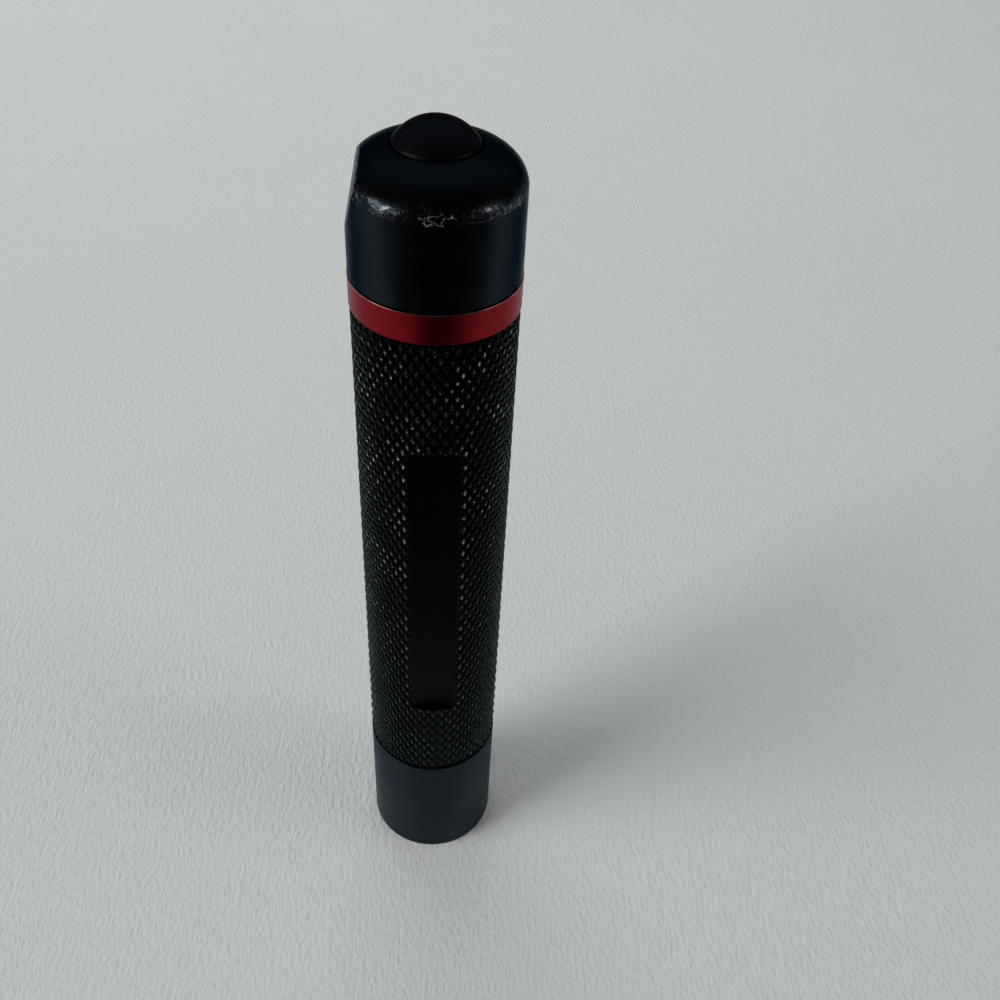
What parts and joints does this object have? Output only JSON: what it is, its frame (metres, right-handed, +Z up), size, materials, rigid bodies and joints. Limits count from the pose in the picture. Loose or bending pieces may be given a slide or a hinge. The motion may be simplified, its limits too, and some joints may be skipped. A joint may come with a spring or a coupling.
{
  "type": "traffic baton light",
  "caption": "Pocket traffic baton light: knurled aluminium grip with a push button in its screw-on tail cap, and a red wand whose tubes slide out of the smooth front collar.",
  "frame": {"origin": "centre of the front collar's flat end face, on the surface the light stands on", "axes": "+Z up the grip's axis, from the front collar to the push button; -Y is the side with the flat window in the knurling; +X is to the right when that side faces the viewer"},
  "size_m": [0.028, 0.028, 0.1707],
  "materials": {
    "front_collar": "black anodised, smooth",
    "wiper_ring": "felt",
    "barrel": "black anodised, diamond knurled",
    "cap_o_ring": "satin",
    "lens_clip": "spring steel",
    "collimator_lens": "clear polycarbonate",
    "lens_holder": "white moulding",
    "led_emitter": "phosphor yellow",
    "led_board": "white solder mask",
    "heat_sink": "turned",
    "positive_led_wire": "insulation",
    "negative_led_wire": "insulation",
    "driver_board": "green solder mask",
    "driver_chip": "moulded",
    "front_spring": "gold plated",
    "battery_cell": "plain shrink wrap",
    "accent_ring": "red anodised",
    "tail_cap": "black anodised, worn at the shoulder",
    "switch_retainer": "turned",
    "switch_board": "green solder mask",
    "switch_housing": "moulded",
    "tail_spring": "gold plated",
    "button_spring": "spring wire",
    "button": "satin",
    "button_seal": "satin",
    "switch_plunger": "moulded",
    "outer_wand_tube": "translucent red polycarbonate",
    "outer_tube_o_ring": "satin",
    "middle_wand_tube": "translucent red polycarbonate",
    "middle_tube_o_ring": "satin",
    "inner_wand_tube": "translucent red polycarbonate",
    "inner_tube_o_ring": "satin",
    "tip_cap": "translucent red polycarbonate"
  },
  "bodies": {
    "handle": {"front_collar": "front_collar", "wiper_ring": "wiper_ring", "barrel": "barrel", "cap_o_ring": "cap_o_ring", "lens_clip": "lens_clip", "collimator_lens": "collimator_lens", "lens_holder": "lens_holder", "led_emitter": "led_emitter", "led_board": "led_board", "heat_sink": "heat_sink", "positive_led_wire": "positive_led_wire", "negative_led_wire": "negative_led_wire", "driver_board": "driver_board", "driver_chip": "driver_chip", "front_spring": "front_spring", "battery_cell": "battery_cell"},
    "spacer": {"accent_ring": "accent_ring"},
    "cap": {"tail_cap": "tail_cap", "switch_retainer": "switch_retainer", "switch_board": "switch_board", "switch_housing": "switch_housing", "tail_spring": "tail_spring", "button_spring": "button_spring"},
    "button": {"button": "button", "button_seal": "button_seal", "switch_plunger": "switch_plunger"},
    "outer_tube": {"outer_wand_tube": "outer_wand_tube", "outer_tube_o_ring": "outer_tube_o_ring"},
    "middle_tube": {"middle_wand_tube": "middle_wand_tube", "middle_tube_o_ring": "middle_tube_o_ring"},
    "inner_tube": {"inner_wand_tube": "inner_wand_tube", "inner_tube_o_ring": "inner_tube_o_ring", "tip_cap": "tip_cap"}
  },
  "joints": [
    {"name": "button_press", "type": "slide", "parent": "cap", "child": "button", "axis": [0, 0, -1], "range_m": [0, 0.0018], "stiffness_N_per_m": 400, "springref_m": -0.001, "deforming": ["button_spring"]},
    {"name": "cap_rise", "type": "slide", "parent": "handle", "child": "spacer", "axis": [0, 0, 1], "range_m": [0, 0.004]},
    {"name": "cap_turn", "type": "hinge", "parent": "spacer", "child": "cap", "pos_m": [0, 0, 0.1545], "axis": [0, 0, 1], "range_deg": [0, 1440]},
    {"name": "outer_tube_slide", "type": "slide", "parent": "handle", "child": "outer_tube", "axis": [0, 0, -1], "range_m": [0, 0.0718]},
    {"name": "middle_tube_slide", "type": "slide", "parent": "outer_tube", "child": "middle_tube", "axis": [0, 0, -1], "range_m": [0, 0.0739]},
    {"name": "inner_tube_slide", "type": "slide", "parent": "middle_tube", "child": "inner_tube", "axis": [0, 0, -1], "range_m": [0, 0.0739]}
  ],
  "couplings": [
    {"joint": "cap_rise", "follows": "cap_turn", "m_per_rad": 0.00015915}
  ]
}
